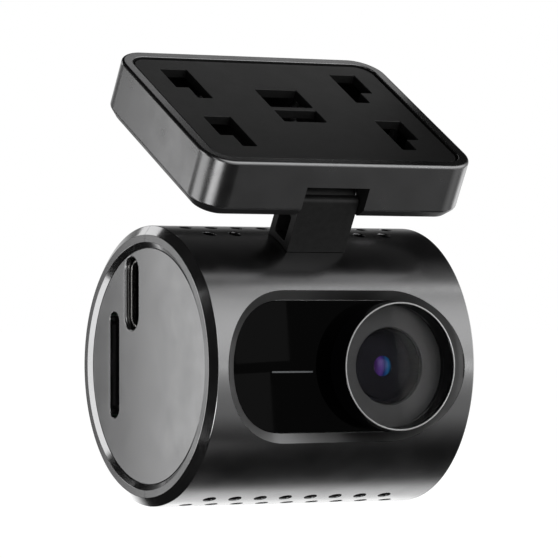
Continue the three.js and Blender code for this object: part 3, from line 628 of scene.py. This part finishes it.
# ================================================================ body shells
SKIN = soften([
    (16.34, HALF_L, 0.1), (R - CHAMFER_R, HALF_L, 0.14), (R, HALF_L - CHAMFER_L, 0.14),
    (R, CHAMFER_L - HALF_L, 0.14), (R - CHAMFER_R, -HALF_L, 0.14), (16.34, -HALF_L, 0.1),
    (15.65, COVER_DEPTH - HALF_L), (15.65, 1.2 - HALF_L), (CASE_IN_R, 1.2 - HALF_L), (CASE_IN_R, HALF_L - 1.2),
    (15.65, HALF_L - 1.2), (15.65, HALF_L - COVER_DEPTH)], 4)


def recess_outline(inset, steps=40):
    """The window recess seen from the front, as (x, z) pairs."""
    radius = RECESS_H - inset
    out = []
    for sign in (1, -1):
        for k in range(steps + 1):
            a = -math.pi / 2 + math.pi * k / steps
            out.append((sign * (RECESS_L - RECESS_H + radius * math.cos(a)), sign * radius * math.sin(a)))
    return out


def recess_cutter():
    """Cuts the window recess: its chamfer starts on the round skin and ends at one depth."""
    rings = []
    outer = recess_outline(0)
    rings.append([(x, -R - 6, z) for x, z in outer])
    for t in (0.0, 0.04, 0.12, 0.9, 0.97, 1.0):
        inset = recess_outline(RECESS_IN * t)
        ring = []
        for (x, z), (_, zo) in zip(inset, outer):
            skin = -math.sqrt(R * R - zo * zo)
            deep = min(skin + RECESS_DEEP, WINDOW_Y)
            ring.append((x, skin + (deep - skin) * t, z))
        rings.append(ring)
    rings.append([(x, WINDOW_Y + 1.25, z) for x, z in recess_outline(RECESS_IN)])
    return loft(rings)


def vent_cutter(x, angle):
    """Cuts a round vent with a softened edge, at an angle up from the front."""
    turn = Matrix.Translation((x, 0, 0)) @ Matrix.Rotation(math.pi - angle, 4, "X")
    return revolve([
        (0, 15), (VENT_R, 15), (VENT_R, R - 0.14), (VENT_R + 0.02, R - 0.07), (VENT_R + 0.07, R - 0.02),
        (VENT_R + 0.15, R + 0.01), (VENT_R + 0.55, R + 0.3), (0, R + 0.3)], "Y", 32, turn)


whole = revolve(SKIN, "X", 256)
ledge = levels(rounded_rect(2 * (RECESS_L + 0.1), 2 * (RECESS_H + 0.1), RECESS_H + 0.09, steps=24),
               [(0, -17.0), (0, -12.2)], "Y")
bound = revolve([(0, -19), (17.5, -19), (17.5, 19), (0, 19)], "X", 96)
common(ledge, bound)
front_half = common(copy_of(whole), cuboid(-30, 30, -30, -SEAM, -30, 30))
rear_half = common(whole, cuboid(-30, 30, SEAM, 30, -30, 30))
join(front_half, ledge)
cut(front_half, recess_cutter())
behind = levels(rounded_rect(2 * (RECESS_L - 2.17), 2 * (RECESS_H - 2.17), RECESS_H - 2.18, steps=24),
                [(0, WINDOW_Y - 1), (0, -10)], "Y")
cut(front_half, behind)
for up in (-1, 1):
    for i in range(9):
        cut(front_half, vent_cutter(VENT_X + (i - 4) * VENT_PITCH, up * VENT_OUTER))
    for i in range(8):
        if up < 0 or i < 2 or i > 5:
            cut(front_half, vent_cutter(VENT_X + (i - 3.5) * VENT_PITCH, up * VENT_INNER))
CASE_LOOKS = [GREY, LIT_EDGE_COPY, LIT_RECESS_COPY]
finish(front_half, "front_case", IN_BODY, "camera", CASE_LOOKS, ["front_shell"], true_radius=R)

for x, z in SHELL_SCREWS:
    tool = revolve([(0, 5), (1.7, 5), (1.7, 20), (0, 20)], "Y", 40, Matrix.Translation((x, 0, z)))
    boss = revolve([(0, 4), (2.2, 4), (2.2, 11.5), (0, 11.5)], "Y", 32, Matrix.Translation((x, 0, z)))
    common(boss, revolve([(0, -19), (17.4, -19), (17.4, 19), (0, 19)], "X", 96))
    join(rear_half, boss)
    cut(rear_half, tool)
holes = [(0, 0)] + [
    (SPEAKER_RING * math.cos(k * math.pi / 3), SPEAKER_RING * math.sin(k * math.pi / 3)) for k in range(6)]
for x, z in holes:
    face = math.sqrt(R * R - z * z)
    tool = revolve([
        (0, 12), (SPEAKER_HOLE_R, 12), (SPEAKER_HOLE_R, face - 0.12), (0.6, face - 0.04), (0.72, face + 0.02),
        (1.1, face + 0.4), (0, face + 0.4)], "Y", 28, Matrix.Translation((SPEAKER_X + x, 0, z)))
    cut(rear_half, tool)
finish(rear_half, "rear_case", IN_BODY, "camera", CASE_LOOKS, ["rear_shell"], true_radius=R)
# End chamfers take the lighter, glossier copy of the case lacquer and the window recess the lighter, rougher copy:
# painted highlight and painted light.
for half in (front_half, rear_half):
    for face in half.data.polygons:
        spot = IN_BODY.inverted() @ face.center / MM
        from_axis = math.hypot(spot.y, spot.z)
        rim = abs(spot.x) > HALF_L - 0.9 and 0.25 < abs(face.normal.x) < 0.97 and from_axis > 15.6
        recess = spot.y < WINDOW_Y + 0.5 and from_axis < R - 0.08 and abs(spot.x) < RECESS_L + 0.1
        if rim or recess:
            face.material_index = 1 if rim else 2

# ================================================================ end covers
face_x = HALF_L - COVER_DEPTH
cover_profile = soften([
    (0, face_x), (COVER_R, face_x, 0.12), (COVER_R, 18.9), (COVER_RIM_R, 18.9), (COVER_RIM_R, COVER_BACK),
    (0, COVER_BACK)], 4)
left = revolve([(r, -x) for r, x in cover_profile], "X", 192)
cut(left, flared(stadium(*PORT_SLOT, USB_Y, USB_Z, 20), -face_x, -15, 0.34, "X"))
cut(left, flared(stadium(*CARD_SLOT, CARD_Y, CARD_Z, 20), -face_x, -15, 0.16, "X"))
finish(left, "port_cover", IN_BODY, "camera", SILVER, ["left_cover"])

right = revolve(cover_profile, "X", 192)
cut(right, revolve([
    (0, 15), (BUTTON_HOLE_R, 15), (BUTTON_HOLE_R, face_x - 0.14), (4.79, face_x - 0.04), (4.91, face_x + 0.01),
    (5.3, face_x + 0.4), (0, face_x + 0.4)], "X", 96))
cut(right, revolve([(0, 15), (0.5, 15), (0.5, face_x - 0.1), (0.62, face_x + 0.01), (0.8, face_x + 0.2),
                    (0, face_x + 0.2)], "X", 24, Matrix.Translation((0, 3.6, -8))))
finish(right, "button_cover", IN_BODY, "camera", SILVER, ["right_cover"])

cap = revolve(soften([
    (0, 17.35), (5.3, 17.35, 0.1), (5.3, 18.1, 0.1), (BUTTON_R, 18.1), (BUTTON_R, 20, 0.28),
    (BUTTON_DISH_R, 20, 0.2), (3.0, 19.88, 0.2), (0, 19.8)], 4), "X", 96)
finish(cap, "button_cap", IN_BODY, "button", GREY, ["power_button"])

# ================================================================ window
pane = levels([Vector(p) for p in recess_outline(RECESS_IN + 0.05)],
              [(0, WINDOW_Y + 1.2), (0, WINDOW_Y + 0.08), (-0.03, WINDOW_Y + 0.02), (-0.08, WINDOW_Y)], "Y")
cut(pane, revolve([(0, -20), (7.7, -20), (7.7, 0), (0, 0)], "Y", 96, Matrix.Translation((LENS_X, 0, 0))))
cut(pane, cuboid(-9.33, -3.12, -20, 0, -0.82, -0.54))
finish(pane, "window_pane", IN_BODY, "camera", GLOSS, ["window_panel"])
bar = levels(rounded_rect(6.15, 0.22, 0.08, -6.225, -0.68, 3),
             [(0, -13.2), (0, WINDOW_Y), (-0.02, WINDOW_Y - 0.03)], "Y")
join(bar, cuboid(-9.6, -2.85, -13.3, 1.2, -1.38, 0.02))
finish(bar, "glow_bar", IN_BODY, "camera", PIPE, ["light_bar"])

# ================================================================ lens
AT_LENS = IN_BODY @ Matrix.Translation(Vector((LENS_X, 0, 0)) * MM)
bezel = revolve(soften([
    (8.22, -R, 0.05), (BEZEL_R, -R, 0.07), (BEZEL_R, -14.75), (7.6, -14.75), (7.6, -12.9), (7, -12.9), (7, -14.95),
    (8.08, -14.95), (8.08, -16.4), (8.12, -18.2)], 4), "Y", 192)
finish(bezel, "lens_ring", AT_LENS, "camera", [BEZEL, BEZEL_LIT_LIP], ["lens_bezel"])
# The bezel's front lip takes the bright grey: a painted highlight line.
for face in bezel.data.polygons:
    if (AT_LENS.inverted() @ face.center).y / MM < -R + 0.06:
        face.material_index = 1
pane = revolve(soften([
    (0, GLASS_FRONT), (GLASS_R, GLASS_FRONT, 0.1), (GLASS_R, GLASS_BACK, 0.1), (0, GLASS_BACK)], 3), "Y", 160)
finish(pane, "lens_cover_pane", AT_LENS, "camera", COVER_GLASS, ["lens_glass"])
ring = revolve(soften([
    (MASK_IN_R, MASK_FRONT, 0.08), (8, MASK_FRONT), (8, MASK_BACK), (MASK_IN_R, MASK_BACK, 0.08)], 3), "Y", 160)
finish(ring, "lens_mask_ring", AT_LENS, "camera", MASK, ["lens_mask"])

inside = [(4.95, -14.9), (6, -14.9), (6, -2), (2.4, -2), (2.4, -3.4), (3, -3.4)]
for k in range(8):
    y = -4.2 - k * 0.85
    inside += [(3, y), (3.0, y - 0.35), (2.82, y - 0.45), (2.82, y - 0.75)]
inside += [(3, -11.3), (3, -13), (4.75, -13), (4.75, -14.3)]
tube = revolve(inside, "Y", 96)
# The tube's inside takes the near-black: painted shade inside the lens.
finish(tube, "lens_tube", AT_LENS, "camera", SHADE_BLACK, ["lens_barrel"], angle=20)


def sphere_arc(radius, half_angle, top, steps):
    """A dome's profile from its top outwards, for revolve."""
    angles = [half_angle * k / steps for k in range(1, steps + 1)]
    return [(0.0, top)] + [(radius * math.sin(a), top + radius * (1 - math.cos(a))) for a in angles]


rim = [(4.66, -13.75), (4.66, -13.4), (4.3, -13.4)]
dome = revolve(sphere_arc(*DOME_FRONT, 24) + rim + sphere_arc(*DOME_BACK, 24)[::-1], "Y", 128)
finish(dome, "lens_front_dome", AT_LENS, "camera", LENS_GLASS, ["front_element"])
pupil = revolve(sphere_arc(*PUPIL, 12) + [(1.336, -13.1), (0, -13.1)], "Y", 96)
finish(pupil, "lens_pupil", AT_LENS, "camera", painted_pupil_reflection())
stop = revolve(soften([(1.36, -13.95, 0.04), (4.2, -13.3, 0.05), (4.2, -13.05), (1.36, -13.05)], 3), "Y", 96)
# The stop takes the near-black: painted shade behind the pupil.
finish(stop, "lens_stop", AT_LENS, "camera", SHADE_BLACK)

# ================================================================ port and card
def port_solid(width, thick, x0, x1, lead):
    """A rounded bar at the port, its end at x0 rounded by lead."""
    outline = stadium(thick, width, USB_Y, USB_Z, 20)
    return levels(outline, [(-lead, x0), (-lead * 0.3, x0 + lead * 0.3), (0, x0 + lead), (0, x1)], "X")


sleeve = port_solid(USB_W, USB_T, USB_FRONT, USB_BACK, 0.12)
cut(sleeve, flared(stadium(USB_IN_T, USB_IN_W, USB_Y, USB_Z, 20), USB_FRONT, -12.6, 0.08, "X"))
finish(sleeve, "port_sleeve", IN_BODY, "camera", NICKEL, ["usb_shell"])
tongue = levels(rounded_rect(TONGUE_T, TONGUE_W, 0.12, USB_Y, USB_Z, 4),
                [(-0.12, USB_FRONT + 0.5), (-0.03, USB_FRONT + 0.54), (0, USB_FRONT + 0.64), (0, -12.65)], "X")
finish(tongue, "port_tongue", IN_BODY, "camera", BLACK, ["usb_tongue"])
plate = levels(rounded_rect(0.16, 6.3, 0.05, USB_Y, USB_Z, 3), [(0, USB_FRONT + 0.47), (0, USB_FRONT + 2)], "X")
finish(plate, "port_midplate", IN_BODY, "camera", NICKEL)
for sign in (-1, 1):
    strip = None
    for k in range(12):
        z = USB_Z - 2.75 + k * 0.5
        y0 = USB_Y + sign * TONGUE_T / 2
        pad = cuboid(USB_FRONT + 0.75, -13, min(y0, y0 + sign * 0.02), max(y0, y0 + sign * 0.02), z - 0.13, z + 0.13)
        strip = pad if strip is None else join(strip, pad)
    finish(strip, f"port_contacts_{'front' if sign < 0 else 'rear'}", IN_BODY, "camera", NICKEL)

outline = [Vector(p) for p in (
    (CARD_X, -5.45), (CARD_X + 15, -5.45), (CARD_X + 15, 4.25), (CARD_X + 8.6, 4.25), (CARD_X + 7.4, 5.55),
    (CARD_X, 5.55))]
card = levels(outline, [
    (-0.06, CARD_Y - CARD_HALF_T), (0, CARD_Y - CARD_HALF_T + 0.06), (0, CARD_Y + CARD_HALF_T - 0.06),
    (-0.06, CARD_Y + CARD_HALF_T)], "Y")
grip = rounded_rect(0.5, 9.4, 0.2, CARD_X + 0.6, CARD_Z, 4)
join(card, levels(grip, [(0, CARD_Y - CARD_HALF_T - 0.07), (0, CARD_Y - CARD_HALF_T + 0.08)], "Y"))
finish(card, "card_body", IN_BODY, "card", BLACK, ["memory_card"])

# ================================================================ carried-over CAD nodes
CHIP = moulded("chip_epoxy", (0.010, 0.010, 0.011), (0.018, 0.018, 0.019), 0.45, 0.3, 4000)
FOIL = bare_metal("pressed_tin", (0.5, 0.5, 0.5), 0.35, (6, 6, 6))
SINK = bare_metal("extruded_aluminium", (0.5, 0.51, 0.53), 0.4, (1, 14, 14))
PAD = moulded("soft_thermal_pad", (0.3, 0.4, 0.5), (0.36, 0.46, 0.56), 0.8, 0.5, 1500)
SLEEVE = polished("blue_shrink_sleeve", (0.012, 0.03, 0.1), 0.25, 0.4)
FILTER = glass("infrared_filter_glass", (0.55, 0.85, 0.8), 1.5, (0.7, 1.0, 0.9))
CONE = moulded("speaker_paper", (0.01, 0.01, 0.01), (0.02, 0.02, 0.02), 0.9, 0.6, 1200)
FINISHES = {
    "mount_screw": STEEL, "hinge_pin": STEEL, "friction_washer": STEEL, "arm_retainer": STEEL, "arm_screw": STEEL,
    "shell_screw": STEEL, "board_screw": STEEL, "card_socket": FOIL, "speaker_frame": FOIL, "microphone": FOIL,
    "rear_element": LENS_GLASS, "infrared_filter": FILTER, "status_led": PIPE, "lens_holder": BLACK,
    "image_sensor": CHIP, "main_board": BOARD, "card_board": BOARD, "processor": CHIP, "thermal_pad": PAD,
    "heat_sink": SINK, "board_link": CHIP, "supercapacitor": SLEEVE, "speaker_cone": CONE, "button_switch": CHIP,
}
WELD_DISTANCE, NODE_BEVEL = 0.002 * MM, 0.06 * MM
for name, node in NODES.items():
    for start, look in FINISHES.items():
        if name.startswith(start):
            node.data.materials.clear()
            node.data.materials.append(look)
            weld = node.modifiers.new("weld", "WELD")
            weld.merge_threshold = WELD_DISTANCE
            edges = node.modifiers.new("edges", "BEVEL")
            edges.width = NODE_BEVEL
            edges.segments = 2
            edges.limit_method = "ANGLE"
            edges.angle_limit = math.radians(40)

# ================================================================ stage
floor_look = Look("pale_floor").set(Roughness=0.9, Specular_IOR_Level=0.0)
floor_look.link(floor_look.colours(floor_look.noise(6, 3.0), (0.3, (0.30, 0.30, 0.30)), (0.7, (0.32, 0.32, 0.32))),
                floor_look.shader.inputs["Base Color"])
floor_look.shader.inputs["Emission Color"].default_value = (1, 1, 1, 1)
floor_look.shader.inputs["Emission Strength"].default_value = 0.93
floor_mesh = bpy.data.meshes.new("floor")
floor_mesh.from_pydata(
    [(-12, -12, FLOOR_Z), (12, -12, FLOOR_Z), (12, 12, FLOOR_Z), (-12, 12, FLOOR_Z)], [], [(0, 1, 2, 3)])
floor = bpy.data.objects.new("floor", floor_mesh)
bpy.context.scene.collection.objects.link(floor)
floor_mesh.materials.append(floor_look.material)
floor.visible_glossy = False
floor.visible_diffuse = False
floor.visible_transmission = False
floor.visible_shadow = False

# ---- studio: a few plain soft cards far away, some small ones near; the camera itself sees white ----
class Studio:
    """Far cards are soft-edged patches of the sky, each of one strength."""

    def __init__(self):
        self.world = bpy.data.worlds.new("studio")
        bpy.context.scene.world = self.world
        self.world.use_nodes = True
        self.tree = self.world.node_tree
        way = self.tree.nodes.new("ShaderNodeTexCoord").outputs["Generated"]
        apart = self.tree.nodes.new("ShaderNodeSeparateXYZ")
        self.tree.links.new(way, apart.inputs["Vector"])
        self.x, self.y, self.z = apart.outputs["X"], apart.outputs["Y"], apart.outputs["Z"]
        level = self.math("SQRT", self.math("SUBTRACT", 1.0001, self.math("MULTIPLY", self.z, self.z)), 0)
        self.x = self.math("DIVIDE", self.x, level)
        self.y = self.math("DIVIDE", self.y, level)
        self.total = 0.012

    def math(self, how, a, b):
        node = self.tree.nodes.new("ShaderNodeMath")
        node.operation = how
        for socket, value in zip(node.inputs, (a, b)):
            if isinstance(value, (int, float)):
                socket.default_value = value
            else:
                self.tree.links.new(value, socket)
        return node.outputs["Value"]

    def rise(self, value, low, high):
        node = self.tree.nodes.new("ShaderNodeMapRange")
        node.interpolation_type = "SMOOTHSTEP"
        node.inputs["From Min"].default_value = low
        node.inputs["From Max"].default_value = high
        self.tree.links.new(value, node.inputs["Value"])
        return node.outputs["Result"]

    def card(self, azimuth, wide, bottom, top, strength):
        """Azimuth 0 is in front and 90 on the right; wide, bottom and top are (full, none) in degrees."""
        a = math.radians(azimuth)
        across, ahead = self.math("MULTIPLY", self.x, math.sin(a)), self.math("MULTIPLY", self.y, -math.cos(a))
        facing = self.math("ADD", across, ahead)
        mask = self.rise(facing, math.cos(math.radians(wide[1])), math.cos(math.radians(wide[0])))
        for full, none in (bottom, top):
            edge = self.rise(self.z, math.sin(math.radians(none)), math.sin(math.radians(full)))
            mask = self.math("MULTIPLY", mask, edge)
        self.total = self.math("ADD", self.total, self.math("MULTIPLY", mask, strength))

    def finish(self):
        seen = self.tree.nodes.new("ShaderNodeLightPath").outputs["Is Camera Ray"]
        unseen = self.math("MULTIPLY", self.total, self.math("SUBTRACT", 1.0, seen))
        background = self.tree.nodes["Background"]
        background.inputs["Color"].default_value = (1, 1, 1, 1)
        self.tree.links.new(self.math("ADD", seen, unseen), background.inputs["Strength"])


studio = Studio()
FAR_CARDS = [
    # azimuth, wide, bottom, top, strength
    (35, (35, 75), (-32, -48), (30, 55), 0.42),
    (35, (35, 75), (20, -25), (40, 64), 1.1),
    (60, (4, 26), (-45, -54), (-38, -26), 0.1),
    (142, (28, 47), (-43, -52), (-22, 4), 1.35),
    (142, (28, 47), (-12, -34), (4, 30), 0.65),
    (212, (12, 40), (-5, -28), (5, 28), 0.22),
]
for card in FAR_CARDS:
    studio.card(*card)
studio.finish()

BODY_MIDDLE = Vector((0, 4.2, -34.2)) * MM


def near_card(name, spot, width, height, radiance, along=None):
    """A small rectangular light at a spot in millimetres, facing the body. Its width lies along a given
    direction, or level where none is given."""
    data = bpy.data.lights.new(name, "AREA")
    data.shape = "RECTANGLE"
    data.size, data.size_y = width * MM, height * MM
    data.energy = radiance * data.size * data.size_y * math.pi
    obj = bpy.data.objects.new(name, data)
    bpy.context.scene.collection.objects.link(obj)
    back = (Vector(spot) * MM - BODY_MIDDLE).normalized()
    side = Vector(along) if along else Vector((-back.y, back.x, 0))
    side = (side - back * side.dot(back)).normalized()
    turn = Matrix((side, back.cross(side), back)).transposed().to_4x4()
    obj.matrix_world = Matrix.Translation(Vector(spot) * MM) @ turn
    obj.visible_camera = False


NEAR_CARDS = [
    # name, spot, width, height, radiance, direction of the width
    ("left_rear", (-150, 38, -34), 72, 180, 1.4),
    ("left_front", (-138, -88, -34), 22, 110, 1.5),
    ("left_top", (-42, 116, 44), 40, 40, 1.2),
    ("disc", (-82, 98, -34), 22, 100, 1.05),
    ("top_left", (40, -83, 94), 34, 40, 0.4),
    ("low_left", (36, -53, -160), 26, 40, 0.25),
    ("corner", (-128, -86, -118), 84, 60, 2.6),
    ("recess", (86, -54, 80), 64, 14, 1.2, (1, 0, 0)),
    ("panel", (22, 33, 40), 50, 12, 0.6, (1, 0, 0)),
]
for card in NEAR_CARDS:
    near_card(*card)


SHEEN_DISTANCE = 0.3  # metres from the glass to the card


def mirrored_card(name, plane, x, z, width, height, radiance, lean):
    """A small weak card that the flat glass at y = plane mirrors towards EYE from x, z of the body, in
    millimetres. Its width and height are those of the sheen on the glass, and lean tips it."""
    glass_point = IN_BODY.to_translation() + Vector((x, plane, z)) * MM
    image = Vector((EYE.x, 2 * glass_point.y - EYE.y, EYE.z))
    way = (glass_point - image).normalized()
    growth = ((glass_point - image).length + SHEEN_DISTANCE) / (glass_point - image).length
    spot = (glass_point + way * SHEEN_DISTANCE) / MM
    side = Vector((-way.y, way.x, 0)).normalized()
    near_card(name, spot, width * growth, height * growth, radiance, side + Vector((0, 0, math.tan(lean))))


mirrored_card("sheen_lens", GLASS_FRONT, LENS_X + 6.2, 0, 8.2, 20, 5, 0.12)
mirrored_card("sheen_upper", WINDOW_Y, -11, 4.7, 7, 8.2, 2.2, 0.06)
mirrored_card("sheen_lower", WINDOW_Y, -12.2, -5, 5, 8.4, 2.2, 0.06)

# ---- camera ----
camera_data = bpy.data.cameras.new("camera")
camera_data.sensor_width = 36.0
camera_data.lens = FOCAL_LENGTH
camera_data.clip_start = 0.01
camera_data.clip_end = 100
camera = bpy.data.objects.new("camera", camera_data)
bpy.context.scene.collection.objects.link(camera)
camera.location = EYE
camera.rotation_euler = VIEW.to_track_quat("-Z", "Y").to_euler()
bpy.context.scene.camera = camera
bpy.context.scene.view_settings.view_transform = "Standard"
bpy.context.scene.view_settings.look = "None"
